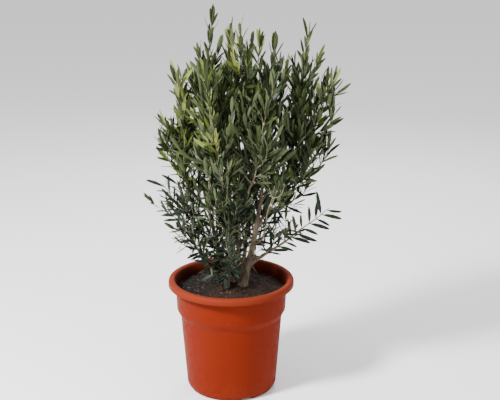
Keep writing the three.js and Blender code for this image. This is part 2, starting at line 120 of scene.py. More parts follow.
# radius, height and the fillet on each corner of the section, from the middle of the base
POT_SECTION = [
    (0, 0, 0),
    (130, 0, 9),
    (137, 16, 9),
    (154, 234, 5),
    (165, 255, 5),
    (169, 335, 2),
    (171, 344, 2),
    (184, 343, 1.5),
    (187, 330, 0.8),
    (190, 330, 0.8),
    (190, 350, 9.6),
    (170, 350, 9.6),
    (166, 327, 3),
    (162, 255, 4),
    (151, 234, 4),
    (133, 13, 8),
    (0, 13, 0),
]
POT_STEPS = 160
# the channels: how many, the first one's bearing in degrees, their sizes, and their holes
DRAIN = dict(count=4, heading=-68, width=36, depth=8, inner=62, outer=150, hole=7, hole_at=100)
# the part of the wall that gets painted shade and compost stain: how far it faces in, above what, within
# what
SHADED_STAINED_WALL = dict(facing=-0.6, above=0.2, within=0.172)
TERRACOTTA = ((0.125, 0.0105, 0.003), (0.145, 0.0125, 0.0035))
# the inner wall's darker colours: painted shade, with a little compost stain
INNER_SHADE_AND_STAIN = ((0.03, 0.005, 0.002), (0.09, 0.009, 0.003))
# the rim's paler colour: painted light on its top, with some bleach
RIM_LIGHT_AND_BLEACH = (0.21, 0.045, 0.02)
DUST = (0.2, 0.05, 0.02)


def rounded_section(corners, steps=5):
    """The section's points in metres, with an arc in place of each filleted corner."""
    points = [Vector((r, z)) * MM for r, z, _ in corners]
    section = []
    for i, (_, _, fillet) in enumerate(corners):
        here = points[i]
        if not fillet:
            section.append(here)
            continue
        back = (points[i - 1] - here).normalized()
        onwards = (points[i + 1] - here).normalized()
        half = back.angle(onwards) / 2
        middle = here + (back + onwards).normalized() * fillet * MM / math.sin(half)
        setback = fillet * MM / math.tan(half)
        start, end = here + back * setback - middle, here + onwards * setback - middle
        turn = start.angle_signed(end)
        for k in range(steps + 1):
            section.append(middle + Matrix.Rotation(-turn * k / steps, 2) @ start)
    return section


def mesh_of(form, name):
    """An edited form as a mesh of its own."""
    mesh = bpy.data.meshes.new(name)
    form.to_mesh(mesh)
    form.free()
    return mesh


def turned(section, steps, name):
    """A closed section turned about the pot's axis."""
    form = bmesh.new()
    ring = [form.verts.new((p.x, 0, p.y)) for p in section]
    edges = [form.edges.new(pair) for pair in zip(ring, ring[1:])]
    bmesh.ops.spin(
        form, geom=ring + edges, axis=(0, 0, 1), cent=(0, 0, 0), steps=steps, angle=2 * math.pi
    )
    bmesh.ops.remove_doubles(form, verts=form.verts, dist=1e-6)
    bmesh.ops.recalc_face_normals(form, faces=form.faces)
    return mesh_of(form, name)


def drain_cutter():
    """Bars for the channels under the base, each with a peg for its hole."""
    form = bmesh.new()
    length = (DRAIN["outer"] - DRAIN["inner"]) * MM
    for i in range(DRAIN["count"]):
        turn = Matrix.Rotation(math.radians(DRAIN["heading"] + i * 360 / DRAIN["count"]), 4, "Z")
        bar = Matrix.Translation((DRAIN["inner"] * MM + length / 2, 0, 0))
        bar @= Matrix.Diagonal((length, DRAIN["width"] * MM, 2 * DRAIN["depth"] * MM, 1))
        bmesh.ops.create_cube(form, size=1, matrix=turn @ bar)
        peg = Matrix.Translation((DRAIN["hole_at"] * MM, 0, 15 * MM))
        radius = DRAIN["hole"] * MM
        bmesh.ops.create_cone(
            form,
            cap_ends=True,
            segments=24,
            radius1=radius,
            radius2=radius,
            depth=20 * MM,
            matrix=turn @ peg,
        )
    return object_of(mesh_of(form, "drain_cutter"), "drain_cutter")


def plain_mesh(maker, name):
    """The finished shape of an object with modifiers, as a plain object in its place."""
    shape = maker.evaluated_get(bpy.context.evaluated_depsgraph_get())
    made = object_of(bpy.data.meshes.new_from_object(shape), name)
    made.data.name = name
    bpy.data.objects.remove(maker)
    return made


def add(tree, kind, inputs=(), **settings):
    """A node of a tree, its sockets set to values or joined to other nodes' outputs."""
    made = tree.nodes.new(kind)
    for name, value in settings.items():
        setattr(made, name, value)
    for key, value in dict(inputs).items():
        if isinstance(value, bpy.types.NodeSocket):
            tree.links.new(value, made.inputs[key])
        else:
            made.inputs[key].default_value = value
    return made


def maths(tree, operation, *values, kind="ShaderNodeMath", **settings):
    """The result of an operation on values or on other nodes' outputs."""
    return add(tree, kind, dict(enumerate(values)), operation=operation, **settings).outputs[0]


def mottling():
    """A node group for uneven colour: soft patches at many sizes, as a mask from 0 to 1."""
    group = bpy.data.node_groups.new("mottling", "ShaderNodeTree")
    for name, value in (("Patch Size", 0.03), ("Stretch", 1.0), ("Contrast", 1.0)):
        socket = group.interface.new_socket(name, in_out="INPUT", socket_type="NodeSocketFloat")
        socket.default_value = value
    group.interface.new_socket("Mask", in_out="OUTPUT", socket_type="NodeSocketFloat")
    given = add(group, "NodeGroupInput")
    place = add(group, "ShaderNodeTexCoord").outputs["Object"]
    squash = add(group, "ShaderNodeCombineXYZ", {"X": 1.0, "Y": 1.0, "Z": given.outputs["Stretch"]})
    along = maths(group, "MULTIPLY", place, squash.outputs[0], kind="ShaderNodeVectorMath")
    scale = maths(group, "DIVIDE", 1.0, given.outputs["Patch Size"])
    patches = add(
        group,
        "ShaderNodeTexNoise",
        {"Vector": along, "Scale": scale, "Detail": 6.0, "Roughness": 0.6},
    )
    offset = maths(group, "SUBTRACT", patches.outputs[0], 0.5)
    spread = maths(group, "MULTIPLY_ADD", offset, given.outputs["Contrast"], 0.5, use_clamp=True)
    add(group, "NodeGroupOutput", {"Mask": spread})
    return group


MOTTLING = mottling()


def mottled(tree, size, stretch=1.0, contrast=2.0):
    """The mottling mask in a material, with its own patch size in metres."""
    made = add(tree, "ShaderNodeGroup", node_tree=MOTTLING)
    made.inputs["Patch Size"].default_value = size
    made.inputs["Stretch"].default_value = stretch
    made.inputs["Contrast"].default_value = contrast
    return made.outputs["Mask"]


def mixed(tree, mask, first, second):
    """One colour where the mask is 0, running to another where it is 1."""
    made = add(tree, "ShaderNodeMix", {"Factor": mask}, data_type="RGBA")
    for socket, colour in ((made.inputs[6], first), (made.inputs[7], second)):
        if isinstance(colour, bpy.types.NodeSocket):
            tree.links.new(colour, socket)
        else:
            socket.default_value = (*colour, 1)
    return made.outputs[2]


def band(tree, value, low, high, to_low=0.0, to_high=1.0):
    """A smooth step of a value between two limits."""
    made = add(
        tree,
        "ShaderNodeMapRange",
        {"Value": value, "From Min": low, "From Max": high, "To Min": to_low, "To Max": to_high},
        interpolation_type="SMOOTHSTEP",
    )
    return made.outputs["Result"]


def bumped(tree, shader, height, strength, distance):
    """A bump on a shader's normal."""
    bump = add(tree, "ShaderNodeBump", {"Height": height, "Strength": strength, "Distance": distance})
    tree.links.new(bump.outputs["Normal"], shader.inputs["Normal"])


def coordinate(tree, axis):
    """A point's coordinate along one axis, in metres."""
    place = add(tree, "ShaderNodeTexCoord").outputs["Object"]
    return add(tree, "ShaderNodeSeparateXYZ", {0: place}).outputs[axis]


def pot_plastic(name, dark, bright):
    """Dyed plastic: paler at the rim from painted light on its top and some bleach, dusty at the foot, and
    finely grained.
    """
    material, shader = finish_of(name, bright, 0.65, Specular_IOR_Level=0.03)
    tree = material.node_tree
    height = coordinate(tree, "Z")
    body = mixed(tree, mottled(tree, size=0.09, stretch=0.5, contrast=1.6), dark, bright)
    # paler towards the rim: painted light on its top, with some bleach
    near_rim = band(tree, height, low=POT_HEIGHT - 0.03, high=POT_HEIGHT - 0.004, to_high=0.30)
    rim = mixed(tree, near_rim, body, RIM_LIGHT_AND_BLEACH)
    near_foot = band(tree, height, low=0.09, high=0.0, to_low=0.02, to_high=0.16)
    dust = maths(tree, "MULTIPLY", mottled(tree, size=0.012, contrast=4.0), near_foot)
    dusty = mixed(tree, dust, rim, DUST)
    tree.links.new(dusty, shader.inputs["Base Color"])
    rubbed = band(tree, mottled(tree, size=0.02), low=0.2, high=0.8, to_low=0.44, to_high=0.60)
    tree.links.new(rubbed, shader.inputs["Roughness"])
    bumped(tree, shader, mottled(tree, size=0.0012, contrast=1.5), strength=0.12, distance=0.0004)
    return material


pot_form = object_of(turned(rounded_section(POT_SECTION), POT_STEPS, "pot_form"), "pot_form")
cutter = drain_cutter()
drains = pot_form.modifiers.new("drains", "BOOLEAN")
drains.operation = "DIFFERENCE"
drains.solver = "EXACT"
drains.object = cutter
pot = plain_mesh(pot_form, "nursery_pot")
bpy.data.objects.remove(cutter)
pot.data.materials.clear()
pot.data.materials.append(pot_plastic("pot_plastic", *TERRACOTTA))
# the inward-facing wall above the compost takes the darker copy: painted shade, with some compost stain
pot.data.materials.append(pot_plastic("stained_plastic", *INNER_SHADE_AND_STAIN))
for face in pot.data.polygons:
    looks_in = Vector((*face.center.xy, 0)).normalized() @ face.normal < SHADED_STAINED_WALL["facing"]
    inside = face.center.xy.length < SHADED_STAINED_WALL["within"]
    face.material_index = int(looks_in and inside and face.center.z > SHADED_STAINED_WALL["above"])
pot.data.set_sharp_from_angle(angle=math.radians(35))
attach(pot, "root")
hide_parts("pot")


# --------------------------------------------------------------------- soil
# Moist peat compost, filled to about 30 mm below the rim and settled a little lower
# at the wall. Crumbs and bark chips lie scattered over it, and a painted shadow darkens
# the left side nearly to black.

SOIL_LEVEL = 319 * MM
SOIL_EDGE = 314 * MM
SOIL_LEVEL_RADIUS = 95 * MM
# radius and height down the inside of the pot, from the top's edge to the middle of the base
SOIL_SIDE = [(164.9, 314), (161.4, 256), (150.5, 234), (132.4, 13.6), (0, 13.6)]
SOIL_RINGS = 62
SOIL_STEPS = 168
# size across, height and seed of the lumps, in metres, and how far they lower the whole
LUMPS = [(0.045, 0.0045, 3), (0.014, 0.0030, 11), (0.005, 0.0016, 23)]
LUMPS_SINK = 1.5 * MM
DAMP_PEAT = ((0.003, 0.0018, 0.0014), (0.012, 0.0065, 0.0045))
PEAT_FIBRE = (0.036, 0.017, 0.009)
# the colour the left of the compost runs to: a painted shadow, nearly black
PAINTED_SHADOW_PEAT = (0.0015, 0.0012, 0.0012)
BARK_CHIP = ((0.022, 0.012, 0.008), (0.10, 0.056, 0.033))


def soil_height(x, y):
    """The height of the compost's lumpy top, which falls a little towards the wall."""
    radius = math.hypot(x, y)
    fall = min(1, max(0, (radius - SOIL_LEVEL_RADIUS) / (SOIL_SIDE[0][0] * MM - SOIL_LEVEL_RADIUS)))
    height = SOIL_LEVEL + (SOIL_EDGE - SOIL_LEVEL) * fall - LUMPS_SINK
    for size, depth, seed in LUMPS:
        height += depth * noise.noise(Vector((x / size, y / size, seed)))
    return height


def soil_mesh():
    """Rings of points over the top, then down the inside of the pot's wall."""
    top_radius = SOIL_SIDE[0][0] * MM
    angles = [2 * math.pi * k / SOIL_STEPS for k in range(SOIL_STEPS)]
    points = [(0, 0, soil_height(0, 0))]
    for ring in range(1, SOIL_RINGS + 1):
        for angle in angles:
            x, y = (ring / SOIL_RINGS * top_radius * f(angle) for f in (math.cos, math.sin))
            points.append((x, y, soil_height(x, y)))
    for radius, height in SOIL_SIDE[1:-1]:
        for angle in angles:
            points.append((radius * MM * math.cos(angle), radius * MM * math.sin(angle), height * MM))
    points.append((0, 0, SOIL_SIDE[-1][1] * MM))
    faces = [(0, 1 + k, 1 + (k + 1) % SOIL_STEPS) for k in range(SOIL_STEPS)]
    rings = (len(points) - 2) // SOIL_STEPS
    for ring in range(rings - 1):
        start = 1 + ring * SOIL_STEPS
        for k in range(SOIL_STEPS):
            after = (k + 1) % SOIL_STEPS
            faces.append((start + k, start + SOIL_STEPS + k, start + SOIL_STEPS + after, start + after))
    last = 1 + (rings - 1) * SOIL_STEPS
    faces += [(len(points) - 1, last + (k + 1) % SOIL_STEPS, last + k) for k in range(SOIL_STEPS)]
    mesh = bpy.data.meshes.new("compost")
    mesh.from_pydata(points, [], faces)
    mesh.shade_smooth()
    return mesh


def compost():
    """Damp dark peat with browner fibre, under a painted shadow that is nearly black towards the left."""
    material, shader = finish_of("compost", (0.03, 0.018, 0.011), 0.95, Specular_IOR_Level=0.25)
    tree = material.node_tree
    damp = mixed(tree, mottled(tree, size=0.02, contrast=3.0), *DAMP_PEAT)
    fibrous = mixed(tree, mottled(tree, size=0.003, contrast=5.0), damp, PEAT_FIBRE)
    # a painted shadow over the left of the compost
    leftwards = band(tree, coordinate(tree, "X"), low=-0.03, high=-0.11, to_high=0.9)
    shadowed = mixed(tree, leftwards, fibrous, PAINTED_SHADOW_PEAT)
    tree.links.new(shadowed, shader.inputs["Base Color"])
    bumped(tree, shader, mottled(tree, size=0.0022, contrast=3.0), strength=0.8, distance=0.0012)
    return material


def bark_chip():
    """Shredded bark, each chip from dark to mid brown."""
    material, shader = finish_of("bark_chip", (0.16, 0.09, 0.05), 0.85)
    tree = material.node_tree
    shade = mixed(tree, mottled(tree, size=0.012, contrast=5.0), *BARK_CHIP)
    tree.links.new(shade, shader.inputs["Base Color"])
    bumped(tree, shader, mottled(tree, size=0.0015, contrast=3.0), strength=0.5, distance=0.0006)
    return material


def broken_bit(name, size, seed, points=13):
    """A crumb or splinter: the hull round a few random points in a box."""
    drawn = random.Random(seed)
    form = bmesh.new()
    for _ in range(points):
        spot = Vector([drawn.gauss(0, 1) for _ in range(3)]).normalized()
        form.verts.new([spot[i] * size[i] * MM / 2 for i in range(3)])
    bmesh.ops.convex_hull(form, input=form.verts)
    bmesh.ops.recalc_face_normals(form, faces=form.faces)
    return object_of(mesh_of(form, name), name)


def collection_of(name, members):
    """A collection for instancing, taken out of the scene itself."""
    made = bpy.data.collections.new(name)
    for member in members:
        made.objects.link(member)
        bpy.context.scene.collection.objects.unlink(member)
    return made


def tree_of(name, inputs):
    """A new Geometry Nodes tree with a mesh in and out, and named inputs."""
    tree = bpy.data.node_groups.new(name, "GeometryNodeTree")
    tree.interface.new_socket("Geometry", in_out="INPUT", socket_type="NodeSocketGeometry")
    tree.interface.new_socket("Geometry", in_out="OUTPUT", socket_type="NodeSocketGeometry")
    for label, kind in inputs:
        tree.interface.new_socket(label, in_out="INPUT", socket_type=f"NodeSocket{kind}")
    return tree, add(tree, "NodeGroupInput").outputs


def close_tree(tree, geometry, material):
    """Ends a tree in real faces of one material."""
    solid = add(tree, "GeometryNodeRealizeInstances", {"Geometry": geometry})
    clad = add(tree, "GeometryNodeSetMaterial", {"Geometry": solid.outputs[0], "Material": material})
    add(tree, "NodeGroupOutput", {0: clad.outputs[0]})


def grown(source, tree, values, name):
    """What a tree makes of a mesh, as a plain object. Its inputs are set by identifier."""
    maker = object_of(source, f"{name}_maker")
    modifier = maker.modifiers.new("rule", "NODES")
    modifier.node_group = tree
    for item in tree.interface.items_tree:
        if item.in_out == "INPUT" and item.name in values:
            modifier[item.identifier] = values[item.name]
    return plain_mesh(maker, name)


LITTER_FACING = 0.4  # the least upward part of a face's normal
LITTER_TILT = 0.9


def litter_tree():
    """Scatters bits over the faces that look up, each turned and sized at random."""
    tree, given = tree_of(
        "litter",
        [
            ("Bits", "Collection"),
            ("Density", "Float"),
            ("Smallest", "Float"),
            ("Largest", "Float"),
            ("Seed", "Int"),
            ("Substance", "Material"),
        ],
    )
    normal = add(tree, "GeometryNodeInputNormal")
    upward = add(tree, "ShaderNodeSeparateXYZ", {0: normal.outputs[0]})
    facing = maths(tree, "GREATER_THAN", upward.outputs["Z"], LITTER_FACING)
    spots = add(
        tree,
        "GeometryNodeDistributePointsOnFaces",
        {
            "Mesh": given["Geometry"],
            "Selection": facing,
            "Density": given["Density"],
            "Seed": given["Seed"],
        },
    )
    turn = add(
        tree,
        "FunctionNodeRandomValue",
        {0: (0, 0, 0), 1: (LITTER_TILT, LITTER_TILT, 2 * math.pi), "Seed": given["Seed"]},
        data_type="FLOAT_VECTOR",
    )
    size = add(
        tree,
        "FunctionNodeRandomValue",
        {2: given["Smallest"], 3: given["Largest"], "Seed": given["Seed"]},
    )
    bits = add(
        tree,
        "GeometryNodeCollectionInfo",
        {"Collection": given["Bits"], "Separate Children": True, "Reset Children": True},
    )
    placed = add(
        tree,
        "GeometryNodeInstanceOnPoints",
        {
            "Points": spots.outputs["Points"],
            "Instance": bits.outputs[0],
            "Pick Instance": True,
            "Rotation": turn.outputs[0],
            "Scale": size.outputs[1],
        },
    )
    close_tree(tree, placed.outputs[0], given["Substance"])
    return tree


peat = compost()
chip_bark = bark_chip()
soil = object_of(soil_mesh(), "compost")
soil.data.materials.append(peat)
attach(soil, "root")
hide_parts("soil")

LITTER = litter_tree()
CRUMB = (6, 5.4, 4.6)
SPLINTER = (15, 5, 2.6)
crumb_shapes = [broken_bit(f"crumb_{i}", CRUMB, seed=40 + i) for i in range(4)]
chip_shapes = [broken_bit(f"splinter_{i}", SPLINTER, seed=60 + i, points=10) for i in range(5)]
# name, shapes, material, number a square metre, smallest and largest scale, and seed
for name, shapes, substance, density, smallest, largest, seed in (
    ("soil_crumbs", crumb_shapes, peat, 15000, 0.3, 1.1, 5),
    ("soil_chips", chip_shapes, chip_bark, 2600, 0.35, 1.15, 8),
):
    values = {
        "Bits": collection_of(name, shapes),
        "Density": float(density),
        "Smallest": smallest,
        "Largest": largest,
        "Seed": seed,
        "Substance": substance,
    }
    bits = grown(soil.data.copy(), LITTER, values, name)
    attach(bits, "root")
    for shape in shapes:
        bpy.data.objects.remove(shape)


# --------------------------------------------------------- stems and boughs
# Five slim stems rise from the compost, each flared at its foot and bent over one
# knee. Boughs fork off them and end inside a mass of foliage. The wood has a thin
# grey-brown bark with shallow lengthwise fissures, and swells a little at each fork.

# in mm: where each stem leaves the compost, its knee and its tip, with its radii
STEMS = {
    "right": dict(foot=(36, 15), knee=(81, 20, 490), tip=(98, 25, 668), foot_radius=12, tip_radius=4.2),
    "middle": dict(foot=(8, 42), knee=(40, 38, 500), tip=(4, 30, 690), foot_radius=8, tip_radius=3.6),
    "left": dict(foot=(-24, 38), knee=(-50, 32, 500), tip=(-99, 20, 690), foot_radius=7.5, tip_radius=3.6),
    "back": dict(foot=(32, 84), knee=(52, 112, 500), tip=(66, 128, 680), foot_radius=7.5, tip_radius=3.6),
    "front": dict(foot=(-14, 2), knee=(4, -38, 480), tip=(22, -84, 640), foot_radius=6.5, tip_radius=3.2),
}
STEM_FULLNESS = 0.9
FLARE = 0.45
FLARE_HEIGHT = 14 * MM
STEM_TAPER = 0.75
WOOD_STEP = 4 * MM
BURIED = 14 * MM
# a bough's root as a share of its stem's radius, its tip's radius, how deep in its mass it
# may end, how steeply it leaves the stem and how round it bends
BOUGH_SHARE = 0.66
BOUGH_TIP = 3 * MM
BOUGH_ENTRY = 0.8
BOUGH_LIFT = 0.25
BOUGH_HANDLE = 0.35
# how much thicker the wood is at a fork, and over what length
STEM_SWELLING = dict(amount=0.16, width=11 * MM)
BOUGH_SWELLING = dict(amount=0.35, width=13 * MM)
OLD_BARK = dict(dark=(0.05, 0.035, 0.024), pale=(0.27, 0.20, 0.135), green=(0.15, 0.13, 0.08))
# nothing grows lower than this over the pot's rim and over the compost inside it
RIM_INSIDE = 162 * MM
ABOVE_RIM = 6 * MM
ABOVE_SOIL = 4 * MM

# Each mass of foliage fills the part of an ellipsoid that lies nearer to it than to its
# neighbours: the stem it grows from, the fork's height or the stem's tip, its middle and
# reach, how far its leader leans outwards in degrees, and how closely its twigs stand.
MASSES = {
    "top_left": ("left", "tip", (-62, 8, 976), (92, 90, 194), 5, 1.0),
    "top_middle": ("middle", "tip", (28, -54, 936), (88, 88, 154), 6, 1.0),
    "top_right": ("right", 640, (206, 18, 958), (88, 96, 172), 9, 0.9),
    "top_inner_right": ("right", "tip", (122, -30, 940), (84, 86, 158), 4, 1.0),
    "top_back": ("back", "tip", (80, 104, 938), (106, 92, 154), 6, 1.0),
    "upper_left": ("left", 610, (-132, -12, 852), (86, 98, 142), 15, 1.0),
    "upper_right": ("right", 575, (252, -6, 846), (92, 100, 120), 22, 0.9),
    "front_left": ("front", "tip", (-44, -126, 840), (98, 86, 156), 10, 1.0),
    "front_right": ("front", 575, (94, -134, 822), (98, 86, 156), 14, 1.0),
    "back_left": ("back", 560, (-54, 122, 844), (100, 92, 156), 14, 1.0),
    "back_right": ("back", 610, (186, 124, 830), (98, 94, 156), 14, 1.0),
    "heart": ("middle", 560, (42, 10, 752), (88, 84, 136), 8, 0.8),
    "inner_left": ("left", 500, (-62, 44, 676), (78, 86, 104), 10, 0.8),
    "inner_right": ("right", 480, (136, 62, 676), (78, 86, 108), 12, 0.7),
    "middle_left": ("left", 540, (-148, -14, 706), (80, 96, 108), 20, 0.9),
    "middle_right": ("right", 515, (214, -4, 690), (86, 96, 112), 26, 0.8),
    "lower_left": ("left", 450, (-152, -2, 576), (98, 88, 88), 36, 0.9),
    "lower_front": ("front", 440, (-14, -112, 602), (102, 84, 130), 22, 0.6),
    "lower_front_right": ("right", 440, (110, -108, 584), (98, 84, 116), 26, 0.3),
    "lower_back": ("back", 430, (66, 164, 606), (126, 88, 126), 6, 0.7),
    "foot_left": ("left", 385, (-104, -38, 468), (82, 78, 74), 34, 0.65),
    "lower_right": ("right", 375, (226, 0, 514), (102, 86, 80), 50, 0.5),
    "foot_right": ("right", 405, (126, -42, 474), (70, 72, 68), 36, 0.5),
}
UP = np.array([0.0, 0.0, 1.0])


def unit(vector):
    """A vector's direction, at length one."""
    return vector / np.linalg.norm(vector)


def bezier(handles, share):
    """A point, or a row of points, on a Bezier curve."""
    row = [np.asarray(h, float) for h in handles]
    share = np.asarray(share, float)[..., None]
    while len(row) > 1:
        row = [a + (b - a) * share for a, b in zip(row, row[1:])]
    return row[0]


def evenly(points, step):
    """A polyline laid out again in steps of one length."""
    lengths = np.concatenate([[0], np.cumsum(np.linalg.norm(np.diff(points, axis=0), axis=1))])
    count = max(2, round(lengths[-1] / step))
    at = np.linspace(0, lengths[-1], count + 1)
    return np.column_stack([np.interp(at, lengths, points[:, i]) for i in range(3)])


def along_axis(reach, direction):
    """How far an ellipsoid with these half sizes reaches along a unit direction."""
    return 1 / np.linalg.norm(direction / reach)


def over_pot(points):
    """Whether every point lies over the compost and clear of the pot's rim."""
    over_rim = np.hypot(points[:, 0], points[:, 1]) > RIM_INSIDE
    lowest = np.where(over_rim, POT_HEIGHT + ABOVE_RIM, SOIL_LEVEL + ABOVE_SOIL)
    return bool((points[:, 2] > lowest).all())


class Stem:
    """A stem that bends over one knee and tapers upwards from a flared foot."""

    def __init__(self, name, foot, knee, tip, foot_radius, tip_radius):
        self.name, self.fullness = f"stem_{name}", STEM_FULLNESS
        self.handles = [np.array(p, float) * MM for p in ((*foot, SOIL_LEVEL / MM), knee, tip)]
        self.points = evenly(bezier(self.handles, np.linspace(0, 1, 200)), WOOD_STEP)
        self.length = WOOD_STEP * (len(self.points) - 1)
        self.foot_radius, self.tip_radius = foot_radius * MM, tip_radius * MM
        self.radii = self.radius(np.linspace(0, 1, len(self.points)))
        self.middle = self.points.mean(axis=0)

    def radius(self, share):
        """The stem's radius at a share of its length."""
        taper = self.foot_radius + (self.tip_radius - self.foot_radius) * np.power(share, STEM_TAPER)
        return taper + self.foot_radius * FLARE * np.exp(-share * self.length / FLARE_HEIGHT)

    def share_at(self, height):
        """The curve's parameter where the stem has risen to this height."""
        shares = np.linspace(0, 1, 400)
        return float(np.interp(height, bezier(self.handles, shares)[:, 2], shares))

    def heading(self, share):
        """Which way the stem points at a share of its curve."""
        return unit(bezier(self.handles, min(1, share + 0.01)) - bezier(self.handles, share - 0.01))

    def room(self, points, margin, swell):
        """A stem's own shoots have no space to keep to, so only the pot stands in their way."""
        return over_pot(np.atleast_2d(points))


class Mass:
    """One mass of foliage with the bough that carries it."""

    def __init__(self, name, stem, fork, middle, reach, lean, fullness):
        self.name, self.stem, self.fullness = name, stem, fullness
        self.middle, self.reach = np.array(middle) * MM, np.array(reach) * MM
        self.from_tip = fork == "tip"
        self.fork = 1.0 if self.from_tip else stem.share_at(fork * MM)
        start = bezier(stem.handles, self.fork)
        outwards = unit((self.middle - start) * (1, 1, 0))
        self.axis = outwards * math.sin(math.radians(lean)) + UP * math.cos(math.radians(lean))

    def meet(self, others):
        """The walls between this mass and every other, as points and inward normals."""
        feet, normals = [], []
        for other in others:
            if other is self:
                continue
            across = unit(other.middle - self.middle)
            own, theirs = along_axis(self.reach, across), along_axis(other.reach, across)
            distance = np.linalg.norm(other.middle - self.middle)
            feet.append(self.middle + across * distance * own / (own + theirs))
            normals.append(-across)
        self.wall_feet, self.wall_normals = np.array(feet), np.array(normals)

    def room(self, points, margin=1.2 * MM, swell=1.0):
        """Whether every point lies in this mass's space, over the compost and clear of the rim."""
        points = np.atleast_2d(points)
        if (np.linalg.norm((points - self.middle) / self.reach, axis=1) > swell).any():
            return False
        if not over_pot(points):
            return False
        inwards = np.einsum("pwi,wi->pw", points[:, None] - self.wall_feet, self.wall_normals)
        return bool((inwards > margin).all())

    def grow_bough(self):
        """A tapering limb from the stem to the lowest point on the mass's axis with room."""
        start = bezier(self.stem.handles, self.fork)
        end = self.middle.copy()
        lowest = self.middle - self.axis * BOUGH_ENTRY * along_axis(self.reach, self.axis)
        while end @ self.axis > lowest @ self.axis and self.room(end, 6 * MM):
            end = end - self.axis * 3 * MM
        leaving = self.stem.heading(1.0) if self.from_tip else unit(unit(end - start) + BOUGH_LIFT * UP)
        handle = BOUGH_HANDLE * np.linalg.norm(end - start)
        curve = [start, start + leaving * handle, end - self.axis * handle, end]
        self.points = evenly(bezier(curve, np.linspace(0, 1, 120)), WOOD_STEP)
        self.outer_half = self.points[len(self.points) // 2:]
        share = 1.0 if self.from_tip else BOUGH_SHARE
        root = max(BOUGH_TIP, share * float(self.stem.radius(self.fork)))
        self.radii = np.linspace(root, BOUGH_TIP, len(self.points))


def line_mesh(name, lines):
    """Polylines as one mesh of edges, each point with its thickness."""
    mesh = bpy.data.meshes.new(name)
    starts = np.cumsum([0] + [len(points) for points, _ in lines])
    edges = [(k, k + 1) for a, b in zip(starts, starts[1:]) for k in range(a, b - 1)]
    mesh.from_pydata(np.concatenate([points for points, _ in lines]).tolist(), edges, [])
    thickness = mesh.attributes.new("thickness", "FLOAT", "POINT")
    thickness.data.foreach_set("value", np.concatenate([radii for _, radii in lines]).astype(np.float32))
    return mesh


def attribute(tree, name, kind="FLOAT"):
    """The value of a named attribute."""
    return add(tree, "GeometryNodeInputNamedAttribute", {"Name": name}, data_type=kind).outputs[0]


def wood_tree():
    """Tubes along polylines, roughened by two sizes of relief drawn out lengthwise."""
    tree, given = tree_of(
        "wood", [("Sides", "Int"), ("Relief", "Float"), ("Knots", "Float"), ("Bark", "Material")]
    )
    thickness = attribute(tree, "thickness")
    lines = add(tree, "GeometryNodeMeshToCurve", {"Mesh": given["Geometry"]})
    sized = add(tree, "GeometryNodeSetCurveRadius", {"Curve": lines.outputs[0], "Radius": thickness})
    ring = add(tree, "GeometryNodeCurvePrimitiveCircle", {"Resolution": given["Sides"], "Radius": 1.0})
    radius = add(tree, "GeometryNodeInputRadius")
    tube = add(
        tree,
        "GeometryNodeCurveToMesh",
        {
            "Curve": sized.outputs[0],
            "Profile Curve": ring.outputs[0],
            "Scale": radius.outputs[0],
            "Fill Caps": True,
        },
    )
    place = add(tree, "GeometryNodeInputPosition").outputs[0]
    drawn_out = maths(tree, "MULTIPLY", place, (1.0, 1.0, 0.22), kind="ShaderNodeVectorMath")
    fissures = add(tree, "ShaderNodeTexNoise", {"Vector": drawn_out, "Scale": 320.0, "Detail": 3.0})
    knots = add(tree, "ShaderNodeTexNoise", {"Vector": place, "Scale": 45.0, "Detail": 1.0})
    lifts = []
    for pattern, strength in ((fissures, given["Relief"]), (knots, given["Knots"])):
        centred = maths(tree, "SUBTRACT", pattern.outputs[0], 0.5)
        lifts.append(maths(tree, "MULTIPLY", centred, strength))
    height = maths(tree, "MULTIPLY", maths(tree, "ADD", *lifts), thickness)
    normal = add(tree, "GeometryNodeInputNormal")
    offset = add(
        tree, "ShaderNodeVectorMath", {0: normal.outputs[0], "Scale": height}, operation="SCALE"
    )
    rough = add(
        tree, "GeometryNodeSetPosition", {"Geometry": tube.outputs[0], "Offset": offset.outputs[0]}
    )
    smooth = add(tree, "GeometryNodeSetShadeSmooth", {"Geometry": rough.outputs[0]})
    close_tree(tree, smooth.outputs[0], given["Bark"])
    return tree


def bark(name, dark, pale, green, fissure):
    """Bark with darker fissures, and a green tinge where it is young."""
    material, shader = finish_of(name, pale, 0.85, Specular_IOR_Level=0.3)
    tree = material.node_tree
    lengthwise = mottled(tree, fissure, stretch=0.2, contrast=3.5)
    ridged = mixed(tree, lengthwise, dark, pale)
    tinged = maths(tree, "MULTIPLY", mottled(tree, size=0.035, stretch=0.6), 0.45)
    tree.links.new(mixed(tree, tinged, ridged, green), shader.inputs["Base Color"])
    bumped(tree, shader, lengthwise, strength=0.6, distance=0.0009)
    return material


def swelling(points, centre, amount, width):
    """How much thicker wood is near a fork."""
    distance = np.linalg.norm(points - centre, axis=1)
    return 1 + amount * np.exp(-((distance / width) ** 2))


stems = {name: Stem(name, **sizes) for name, sizes in STEMS.items()}
masses = [Mass(name, stems[row[0]], *row[1:]) for name, row in MASSES.items()]
for mass in masses:
    mass.meet(masses)
for mass in masses:
    mass.grow_bough()

